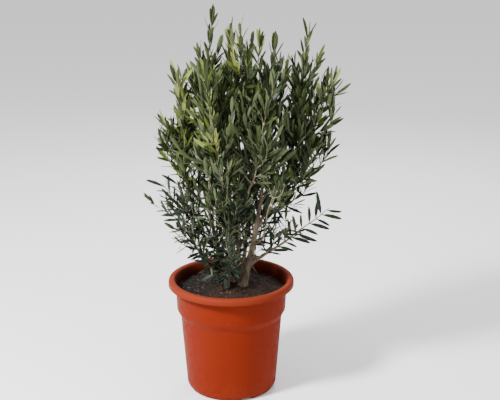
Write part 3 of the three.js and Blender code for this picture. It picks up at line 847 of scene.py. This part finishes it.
WOOD = wood_tree()
old_bark = bark("old_bark", **OLD_BARK, fissure=0.006)
for name, stem in stems.items():
    forks = [mass for mass in masses if mass.stem is stem]
    buried = stem.points[0] - (stem.points[1] - stem.points[0]) / WOOD_STEP * BURIED
    radii = np.concatenate([stem.radii[:1], stem.radii])
    points = np.vstack([buried, stem.points])
    for mass in forks:
        radii = radii * swelling(points, mass.points[0], **STEM_SWELLING)
    lines = [(points, radii)]
    for mass in forks:
        thicker = swelling(mass.points, mass.points[0], **BOUGH_SWELLING)
        lines.append((mass.points, mass.radii * thicker))
    values = {"Sides": 16, "Relief": 0.30, "Knots": 0.35, "Bark": old_bark}
    wood = grown(line_mesh(f"wood_{name}", lines), WOOD, values, f"wood_{name}")
    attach(wood, "root")
    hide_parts(f"stem_{name}", *[f"bough_{mass.name}" for mass in forks])


# -------------------------------------------------------------------- twigs
# In each mass a leader goes on from the bough's tip to the far end of its space. Pairs
# of shoots leave it by quarter turns and curve upwards, and finer side twigs leave
# those. Short leafy shoots also stand on the boughs' outer halves and low on the stems.
# The wood is young: smooth, thin and grey-green.

# Lengths in mm and angles in degrees. The gaps are those between pairs of twigs and pairs
# of leaves. A twig leaves its parent by the spread, and each step turns it up by the rise
# and to any side by up to half the stray, as parts of a unit vector.
LEADER = dict(radius=2.6, tip_radius=1.1, step=18, sway=5, end=0.96, leaf_gap=25)
SPIRE_SHORT = 45 * MM  # a top leader ends this much lower, to leave room for its last leaves
SHOOT = dict(
    gap=31, spread=50, step=12, longest=200, rise=0.15, stray=0.16,
    radius=1.5, tip_radius=0.7, leaf_gap=20,
)
SIDE_TWIG = dict(
    gap=32, spread=38, step=12, longest=95, rise=0.13, stray=0.2,
    radius=0.9, tip_radius=0.55, leaf_gap=19,
)
STEM_SHOOT = dict(
    gap=24, spread=58, step=12, longest=130, rise=0.07, stray=0.2,
    radius=1.2, tip_radius=0.5, leaf_gap=17,
)
# the heights between which each stem carries short shoots
STEM_SHOOTS = {
    "right": (0.47, 0.62),
    "middle": (0.38, 0.62),
    "left": (0.335, 0.60),
    "back": (0.36, 0.62),
    "front": (0.33, 0.60),
}
# the chance that each twig of a pair grows: on a stem and on its shoots, on a leader with
# what a full mass adds, on a bough as a share of that, and on the shoots of a full mass
CHANCE = dict(stem=0.55, stem_side=0.3, leader=0.26, full=0.54, bough=0.6, side=0.30)
# how far a pair strays from its quarter turn, in radians, and from its spread, and the
# least share of the longest length that a twig grows to
PAIR_STRAY = dict(turn=0.35, spread=9, shortest=0.55)
# the seeds that decide how the twigs fall out, for the masses that have another than the usual
USUAL_SEED = 7
TWIG_SEEDS = dict(
    top_left=13, top_middle=13, top_right=13, upper_left=13,
    upper_right=12, middle_right=12, foot_right=12,
)
STEERING = (0, 0.35, 0.8)  # how hard a twig that runs out of room turns up and inwards, in turn
YOUNG_BARK = dict(dark=(0.10, 0.078, 0.046), pale=(0.27, 0.22, 0.14), green=(0.17, 0.18, 0.08))
# The crown's outline, that only the leaders' ends stand out of: its height, and its left,
# right, front and back there.
OUTLINE = np.array([
    (0.33, -0.11, 0.14, -0.12, 0.12),
    (0.40, -0.15, 0.21, -0.15, 0.15),
    (0.46, -0.185, 0.29, -0.17, 0.17),
    (0.53, -0.23, 0.325, -0.19, 0.19),
    (0.60, -0.252, 0.265, -0.20, 0.20),
    (0.66, -0.225, 0.265, -0.205, 0.205),
    (0.75, -0.23, 0.33, -0.21, 0.21),
    (0.86, -0.225, 0.352, -0.21, 0.205),
    (0.93, -0.21, 0.355, -0.205, 0.195),
    (0.97, -0.205, 0.335, -0.195, 0.165),
    (1.01, -0.18, 0.29, -0.17, 0.115),
    (1.03, -0.15, 0.26, -0.14, 0.07),
    (1.045, -0.12, 0.23, -0.11, 0.02),
    (1.055, -0.05, 0.06, -0.05, -0.02),
])
OUTLINE_SQUARENESS = 2.6
# each twig ends short of the outline, in metres, by the least and a random part of the rest
SHORT_OF_OUTLINE = dict(least=0.004, more=0.085, power=0.7)
# how far leaders and twigs may pass the walls and the ellipsoid of their mass's space
LEADER_ROOM = dict(margin=-25 * MM, swell=1.1)
TWIG_ROOM = dict(margin=-0.045, swell=1.3)

limbs = [*stems.values(), *masses]
for number, limb in enumerate(limbs):
    limb.number = number
bark_spots = np.concatenate([limb.points for limb in limbs])
bark_radii = np.concatenate([limb.radii for limb in limbs])
bark_owner = np.concatenate([np.full(len(limb.points), limb.number) for limb in limbs])


def clear_of_wood(start, end, half_width, but=-1):
    """Whether a straight stretch keeps off every limb's bark, apart from one limb's."""
    span = end - start
    share = np.clip((bark_spots - start) @ span / (span @ span), 0, 1)
    away = np.linalg.norm(bark_spots - start - share[:, None] * span, axis=1)
    return bool((away > bark_radii + half_width + 1 * MM)[bark_owner != but].all())


def across_of(heading):
    """Two unit vectors square to a heading and to each other."""
    first = unit(np.cross(heading, UP if abs(heading[2]) < 0.9 else np.array([1.0, 0, 0])))
    return first, np.cross(heading, first)


def leaving(heading, spread, turn):
    """A direction that leaves a heading by so many degrees, turned round it."""
    first, second = across_of(heading)
    side = first * math.cos(turn) + second * math.sin(turn)
    return heading * math.cos(math.radians(spread)) + side * math.sin(math.radians(spread))


def grow_leader(mass, drawn):
    """A gently swaying leader from the bough's tip, as far as it has room."""
    start = mass.points[-1]
    far = LEADER["end"] * along_axis(mass.reach, mass.axis)
    if mass.name.startswith("top"):
        far -= SPIRE_SHORT
    end = mass.middle + mass.axis * far
    count = max(2, round(np.linalg.norm(end - start) / (LEADER["step"] * MM)))
    phases = [drawn.uniform(0, 2 * math.pi) for _ in range(2)]
    points = [start]
    for k in range(1, count + 1):
        share = k / count
        sway = LEADER["sway"] * MM * math.sin(math.pi * share)
        bends = [math.sin(2.2 * math.pi * share + phase) * sway for phase in phases]
        following = start + (end - start) * share + np.array([*bends, 0])
        if not mass.room(following, **LEADER_ROOM):
            break
        if not clear_of_wood(points[-1], following, 2 * MM, mass.number):
            break
        points.append(following)
    return np.array(points)


def in_crown(point, past=0.0):
    """Whether a point lies within the crown's outline, or at most this far past it."""
    left, right, front, back = (np.interp(point[2] - past, OUTLINE[:, 0], side) for side in OUTLINE.T[1:])
    across = (2 * point[0] - left - right) / (right - left + 2 * past)
    deep = (2 * point[1] - front - back) / (back - front + 2 * past)
    return abs(across) ** OUTLINE_SQUARENESS + abs(deep) ** OUTLINE_SQUARENESS < 1


def grow_twig(mass, start, heading, rule, longest, drawn):
    """A twig steps on and turns upwards, steering back into its space, until its length ends."""
    points, grown_to = [start], 0
    step = rule["step"] * MM
    more = SHORT_OF_OUTLINE["more"] * drawn.random() ** SHORT_OF_OUTLINE["power"]
    past = -SHORT_OF_OUTLINE["least"] - more
    while grown_to < longest:
        stray = np.array([drawn.uniform(-0.5, 0.5) * rule["stray"] for _ in range(3)])
        inwards = unit((mass.middle - points[-1]) * (1, 1, 0.01))
        for turn in STEERING:
            way = unit(heading + UP * (rule["rise"] + turn) + stray + inwards * turn)
            following = points[-1] + way * step
            free = mass.room(following, **TWIG_ROOM) and in_crown(following, past)
            own = mass.number if len(points) < 3 else -1
            if free and clear_of_wood(points[-1], following, 1 * MM, own):
                break
        else:
            break
        heading = way
        points.append(following)
        grown_to += step
    return np.array(points)


def tapering(points, rule):
    """A twig's radius at each of its points."""
    return np.linspace(rule["radius"], rule["tip_radius"], len(points)) * MM


def nodes_along(points, gap):
    """Where shoots or leaves leave a twig: places, headings and shares of its length."""
    length = np.linalg.norm(np.diff(points, axis=0), axis=1).sum()
    count = max(1, round(length / gap))
    shares = (np.arange(count) + 0.5) / count
    at = np.linspace(0, 1, len(points))
    places = np.column_stack([np.interp(shares, at, points[:, i]) for i in range(3)])
    steps = np.diff(points, axis=0)
    headings = [unit(steps[min(len(steps) - 1, int(share * len(steps)))]) for share in shares]
    return list(zip(places, headings, shares))


def astray(drawn, most):
    """A random amount, at most this much to either side."""
    return drawn.uniform(-most, most)


def branches(mass, parent, rule, drawn, keep):
    """Pairs of twigs that leave a parent, each pair a quarter turn from the last."""
    made = []
    turn = drawn.uniform(0, 2 * math.pi)
    for place, heading, share in nodes_along(parent, rule["gap"] * MM):
        turn += math.pi / 2 + astray(drawn, PAIR_STRAY["turn"])
        for half in (0, math.pi):
            if drawn.random() > keep:
                continue
            spread = rule["spread"] + astray(drawn, PAIR_STRAY["spread"])
            longest = rule["longest"] * MM * drawn.uniform(PAIR_STRAY["shortest"], 1.0)
            way = leaving(heading, spread, turn + half)
            points = grow_twig(mass, place, way, rule, longest, drawn)
            if len(points) > 2:
                made.append(points)
    return made


def grow_stem_shoots(stem, lowest, highest):
    """Short leafy shoots between two heights of a stem, each with its rule and its spray."""
    drawn = random.Random(stem.number * 17 + 5)
    bearing = np.array([point for point in stem.points if lowest < point[2] < highest])
    shoots = branches(stem, bearing, STEM_SHOOT, drawn, CHANCE["stem"])
    twigs = [(points, STEM_SHOOT, spray) for spray, points in enumerate(shoots)]
    for spray, shoot in enumerate(shoots):
        side_twigs = branches(stem, shoot, SIDE_TWIG, drawn, CHANCE["stem_side"])
        twigs += [(points, SIDE_TWIG, spray) for points in side_twigs]
    return twigs


def grow_twigs(mass):
    """A mass's twigs: the points of each, with its rule and the spray it belongs to."""
    drawn = random.Random(mass.number * 101 + TWIG_SEEDS.get(mass.name, USUAL_SEED))
    leader = grow_leader(mass, drawn)
    twigs, shoots = [], []
    keep = CHANCE["leader"] + CHANCE["full"] * mass.fullness
    if len(leader) > 1:
        twigs.append((leader, LEADER, 0))
        shoots += branches(mass, leader, SHOOT, drawn, keep)
    shoots += branches(mass, mass.outer_half, STEM_SHOOT, drawn, CHANCE["bough"] * keep)
    for spray, shoot in enumerate(shoots, 1):
        twigs.append((shoot, SHOOT, spray))
        side_twigs = branches(mass, shoot, SIDE_TWIG, drawn, CHANCE["side"] * mass.fullness)
        twigs += [(points, SIDE_TWIG, spray) for points in side_twigs]
    return twigs


young_bark = bark("young_bark", **YOUNG_BARK, fissure=0.004)
for mass in masses:
    mass.twigs = grow_twigs(mass)
for name, stem in stems.items():
    stem.twigs = grow_stem_shoots(stem, *STEM_SHOOTS[name])
carriers = [*masses, *stems.values()]
for carrier in carriers:
    lines = [(points, tapering(points, rule)) for points, rule, _ in carrier.twigs]
    values = {"Sides": 6, "Relief": 0.12, "Knots": 0.35, "Bark": young_bark}
    twigs = grown(line_mesh(f"twigs_{carrier.name}", lines), WOOD, values, f"twigs_{carrier.name}")
    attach(twigs, "root")
    if carrier in masses:
        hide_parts(f"foliage_{carrier.name}")


# ------------------------------------------------------------------- leaves
# Narrow leathery leaves in opposite pairs: dark and faintly glossy above with a sunken
# midrib, silvery and matt beneath. A shoot's youngest leaves are smaller, paler and
# more upright, and a pair of small leaves ends every twig. Each spray takes one of four
# greens: paler towards the crown's top and outside as painted light, and darker low
# and inside it as painted shade.

# in mm, degrees and radians: the longest and shortest, how far a leaf's angle and turn
# stray, and how far it may pass the ellipsoid and the walls of its mass's space
LEAF = dict(longest=72, shortest=44, loose=9, turn=0.3, swell=1.4, crossing=70)
LEAF_WIDTH = 0.18  # as a share of the length, as are the thickness and the shapes below
LEAF_PAST = 0.012  # how far a leaf may pass the crown's outline
# the chance of a pair at a node in the thinnest mass, and what a full mass adds
PAIR_CHANCE = dict(thin=0.6, full=0.4)
# how much closer to the twig and smaller a shoot's last leaves are than its first
YOUNG = dict(closer=0.35, smaller=0.3)
LEADER_SPREAD = 7  # degrees that a leader's and a bough's leaves stand off further
# the pair at a twig's end: shares of the longest, degrees from the twig, shapes to choose from
TIP_LEAF = dict(length=(0.6, 0.85), angle=(7, 18), shapes=2)
# Lower leaves stand off further and are smaller, but for the lowest, which hang: height,
# degrees from the twig, upward turn and size
LEAF_HABIT = np.array([
    (0.34, 75, -0.5, 1.15),
    (0.42, 56, -0.1, 0.72),
    (0.52, 48, 0.0, 0.80),
    (0.64, 40, 0.15, 0.92),
    (0.78, 30, 0.25, 1.0),
    (0.92, 23, 0.30, 1.0),
])
# One low spray lies open and flat, its longer leaves in two rows that face the front.
FLAT_SPRAY = dict(mass="lower_right", size=1.3, gap=22, angle=48)
FRONT_AND_UP = np.array([0.0, -1.0, 0.5])
# No leaf hangs in front of the thickest stem between two heights, seen from a little above:
# fall is how much a line of sight falls in a metre. Each leaf is tried at three spots.
BARE = dict(heights=(0.32, 0.61), half_width=0.011, fall=0.3)
LEAF_SPOTS = np.array([0.3, 0.65, 1.0])
CLOSING = (1, 0.55, 0.2)  # how far a leaf that would stick out closes up against its twig, in turn
# share of the length, share of the half width
LEAF_OUTLINE = [(0, 0.10), (0.08, 0.24), (0.28, 0.80), (0.54, 1), (0.80, 0.80), (0.94, 0.40)]
LEAF_THICKNESS = 0.008
# fold of the halves, droop of the tip, sideways bend and twist, for each shape of leaf
LEAF_SHAPES = [
    (0.16, 0.03, 0.02, 0.1),
    (0.32, -0.05, -0.03, -0.2),
    (0.08, 0.09, 0.03, 0.35),
    (0.24, 0.14, -0.02, -0.4),
]
# from the darkest green, that a spray deep inside the crown takes, to the palest: painted shade low and
# inside the crown, painted light high and outside, with some young growth
GREENS = {
    "leaf_shaded": (0.012, 0.020, 0.012),
    "leaf_deep": (0.017, 0.030, 0.008),
    "leaf_fresh": (0.044, 0.067, 0.010),
    "leaf_young": (0.148, 0.176, 0.040),
}
PALEST = len(GREENS) - 1
UNDERSIDE = (0.058, 0.074, 0.030)
# How many greens paler a spray is, for its height above a level and for how far out it is
# in the crown, at random, and on a leader: painted light high and outside, painted shade
# low and inside. The last pairs of a twig may be one paler still.
CROWN_REACH = (0.28, 0.21, 0.42)
PALER = dict(upwards=2.6, level=0.65, within=0.45, outwards=1.3, outside=0.7, stray=0.75, leader=0.8)
PALE_TIP = dict(share=0.75, chance=0.4)


def leaf_shape(name, fold, droop, bend, twist):
    """A leaf of unit length along Z, its upper side towards X: two sheets, joined at the edge."""
    rows = [(along, half * LEAF_WIDTH / 2) for along, half in LEAF_OUTLINE]
    points, faces, under = [], [], []
    for along, half in rows:
        turn = twist * along
        spine = Vector((-droop * along**2, bend * math.sin(math.pi * along), along))
        side = Vector((math.sin(turn), math.cos(turn), 0))
        up = Vector((math.cos(turn), -math.sin(turn), 0))
        lift = up * fold * half
        points += [spine - side * half + lift, spine, spine + side * half + lift]
        points.append(spine - up * LEAF_THICKNESS)
    tip = len(points)
    points.append(Vector((-droop, 0, 1)))
    for row in range(len(rows)):
        left, rib, right, keel = range(4 * row, 4 * row + 4)
        if row + 1 == len(rows):
            faces += [(left, rib, tip), (rib, right, tip), (keel, left, tip), (right, keel, tip)]
        else:
            faces += [(left, rib, rib + 4, left + 4), (rib, right, right + 4, rib + 4)]
            faces += [(keel, left, left + 4, keel + 4), (right, keel, keel + 4, right + 4)]
        under += [False, False, True, True]
    faces.append((2, 1, 0, 3))
    under.append(True)
    mesh = bpy.data.meshes.new(name)
    mesh.from_pydata(points, [], faces)
    mesh.shade_smooth()
    beneath = mesh.attributes.new("beneath", "BOOLEAN", "FACE")
    beneath.data.foreach_set("value", under)
    rims = {(4 * row + k) for row in range(len(rows)) for k in (0, 2)} | {tip}
    sharp = mesh.attributes.new("sharp_edge", "BOOLEAN", "EDGE")
    sharp.data.foreach_set("value", [set(edge.vertices) <= rims for edge in mesh.edges])
    return object_of(mesh, name)


def leaves_tree():
    """A leaf on every point, aimed and turned by the point's attributes, in its spray's green."""
    finishes = [(name, "Material") for name in ("Beneath", *GREENS)]
    tree, given = tree_of("leaves", [("Shapes", "Collection"), *finishes])
    turn = add(
        tree,
        "FunctionNodeAxesToRotation",
        {0: attribute(tree, "aim", "FLOAT_VECTOR"), 1: attribute(tree, "face", "FLOAT_VECTOR")},
        primary_axis="Z",
        secondary_axis="X",
    )
    shapes = add(
        tree,
        "GeometryNodeCollectionInfo",
        {"Collection": given["Shapes"], "Separate Children": True, "Reset Children": True},
    )
    placed = add(
        tree,
        "GeometryNodeInstanceOnPoints",
        {
            "Points": given["Geometry"],
            "Instance": shapes.outputs[0],
            "Pick Instance": True,
            "Instance Index": attribute(tree, "shape", "INT"),
            "Rotation": turn.outputs[0],
            "Scale": attribute(tree, "length"),
        },
    )
    geometry = add(tree, "GeometryNodeRealizeInstances", {"Geometry": placed.outputs[0]}).outputs[0]
    for number, name in enumerate(GREENS):
        chosen = add(
            tree,
            "FunctionNodeCompare",
            {2: attribute(tree, "green", "INT"), 3: number},
            data_type="INT",
            operation="EQUAL",
        )
        geometry = add(
            tree,
            "GeometryNodeSetMaterial",
            {"Geometry": geometry, "Selection": chosen.outputs[0], "Material": given[name]},
        ).outputs[0]
    beneath = add(
        tree,
        "GeometryNodeSetMaterial",
        {
            "Geometry": geometry,
            "Selection": attribute(tree, "beneath", "BOOLEAN"),
            "Material": given["Beneath"],
        },
    )
    add(tree, "NodeGroupOutput", {0: beneath.outputs[0]})
    return tree


def hides_bare_stem(spots):
    """Whether a spot hangs in front of the thickest stem's bare part."""
    stem = stems["right"].points
    lowest, highest = BARE["heights"]
    heights = spots[:, 2] - BARE["fall"] * (stem[0, 1] - spots[:, 1])
    beside = np.abs(spots[:, 0] - np.interp(heights, stem[:, 2], stem[:, 0]))
    before = (spots[:, 1] < stem[0, 1]) & (heights > lowest) & (heights < highest)
    return bool((before & (beside < BARE["half_width"])).any())


def leaf_at(carrier, rule, place, heading, turn, angle, upturn, length, towards=None):
    """A leaf's aim and upper side, closed up on its twig where it would stick out, or None."""
    towards = heading if towards is None else towards
    for closing in CLOSING:
        aim = unit(leaving(heading, angle * closing, turn) + UP * upturn)
        face = unit(towards - aim * (towards @ aim))
        across = np.cross(aim, face) * LEAF_WIDTH / 2 * length
        tip = place + aim * length
        middle = place + aim * length / 2
        reach = np.array([tip, middle + across, middle - across])
        if not carrier.room(reach, -LEAF["crossing"] * MM, LEAF["swell"]):
            continue
        if rule is not LEADER and not in_crown(tip - UP * LEAF_PAST, LEAF_PAST):
            continue
        if hides_bare_stem(place + aim * length * LEAF_SPOTS[:, None]):
            continue
        if clear_of_wood(place + aim * 4 * MM, tip, LEAF_WIDTH / 2 * length, carrier.number):
            return aim, face
    return None


def habit_at(height):
    """How leaves stand at a height: degrees from the twig, upward turn and size."""
    return [np.interp(height, LEAF_HABIT[:, 0], habit) for habit in LEAF_HABIT.T[1:]]


def spray_green(tip, rule, drawn):
    """Which of the greens a spray takes, by where its twig ends: painted light high and out in the crown,
    painted shade low and inside it.
    """
    outer = np.linalg.norm((tip - CROWN_MIDDLE) / CROWN_REACH)
    paler = PALER["upwards"] * (tip[2] - PALER["level"]) / PALER["within"]
    paler += PALER["outwards"] * (outer - PALER["outside"])
    paler += drawn.gauss(0, PALER["stray"])
    if rule is LEADER:
        paler += PALER["leader"]
    return int(min(PALEST, max(0, round(paler))))


def leaf_places(carrier, number):
    """Every leaf of a mass or a stem: its root, aim, upper side, length, shape and green."""
    drawn = random.Random(number * 211 + 3)
    placed = []
    greens = {}
    bearers = carrier.twigs
    if carrier in masses:
        bearers = [(carrier.outer_half, LEADER, 0), *bearers]
    for points, rule, spray in bearers:
        leading = rule is LEADER
        flat = leading and carrier.name == FLAT_SPRAY["mass"]
        gap = FLAT_SPRAY["gap"] if flat else rule["leaf_gap"]
        towards = FRONT_AND_UP if flat else None
        turn = math.pi / 2 if flat else drawn.uniform(0, math.pi)
        if spray not in greens:
            greens[spray] = spray_green(points[-1], rule, drawn)
        for place, heading, share in nodes_along(points, gap * MM):
            stand, upturn, size = habit_at(place[2])
            chance = PAIR_CHANCE["thin"] + PAIR_CHANCE["full"] * carrier.fullness
            if drawn.random() > chance and not flat:
                continue
            young = 0 if leading else share**3
            if flat:
                stand, upturn, size = FLAT_SPRAY["angle"], 0, size * FLAT_SPRAY["size"]
            else:
                turn += math.pi / 2 + astray(drawn, LEAF["turn"])
            for half in (0, math.pi):
                angle = stand * (1 - YOUNG["closer"] * young) + astray(drawn, 1) * LEAF["loose"]
                if leading:
                    angle += LEADER_SPREAD
                length = drawn.uniform(LEAF["shortest"], LEAF["longest"]) * size
                length = length * (1 - YOUNG["smaller"] * young) * MM
                way = turn + half + astray(drawn, LEAF["turn"])
                found = leaf_at(carrier, rule, place, heading, way, angle, upturn, length, towards)
                if found:
                    shade = greens[spray]
                    if share > PALE_TIP["share"] and drawn.random() < PALE_TIP["chance"]:
                        shade += 1
                    shape = drawn.randrange(len(LEAF_SHAPES))
                    placed.append((place, *found, length, shape, min(PALEST, shade)))
        heading = unit(points[-1] - points[-2])
        for half in (0, math.pi):
            length = drawn.uniform(*TIP_LEAF["length"]) * LEAF["longest"] * size * MM
            angle = drawn.uniform(*TIP_LEAF["angle"])
            found = leaf_at(carrier, LEADER, points[-1], heading, turn + half, angle, 0, length)
            if found:
                shape = drawn.randrange(TIP_LEAF["shapes"])
                shade = min(PALEST, greens[spray] + 1)
                placed.append((points[-1], *found, length, shape, shade))
    return placed


def point_mesh(name, placed):
    """Leaf roots as loose points that carry each leaf's attributes."""
    mesh = bpy.data.meshes.new(name)
    mesh.from_pydata([row[0] for row in placed], [], [])
    kinds = (("aim", "FLOAT_VECTOR", 1), ("face", "FLOAT_VECTOR", 2), ("length", "FLOAT", 3))
    for label, kind, column in kinds + (("shape", "INT", 4), ("green", "INT", 5)):
        key = "vector" if kind == "FLOAT_VECTOR" else "value"
        values = np.array([row[column] for row in placed], np.int32 if kind == "INT" else np.float32)
        mesh.attributes.new(label, kind, "POINT").data.foreach_set(key, values.ravel())
    return mesh


leaf_shapes = [leaf_shape(f"leaf_{i}", *shape) for i, shape in enumerate(LEAF_SHAPES)]
LEAVES = leaves_tree()
leaf_inputs = {"Shapes": collection_of("leaf_shapes", leaf_shapes)}
leaf_inputs["Beneath"] = finish_of("leaf_beneath", UNDERSIDE, 0.7, Specular_IOR_Level=0.2)[0]
for name, colour in GREENS.items():
    leaf_inputs[name] = finish_of(name, colour, 0.42, Specular_IOR_Level=0.17)[0]
for number, carrier in enumerate(carriers):
    name = f"leaves_{carrier.name}"
    leaves = grown(point_mesh(name, leaf_places(carrier, number)), LEAVES, leaf_inputs, name)
    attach(leaves, "root")
    if carrier in masses:
        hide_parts(f"foliage_{carrier.name}")
for shape in leaf_shapes:
    bpy.data.objects.remove(shape)
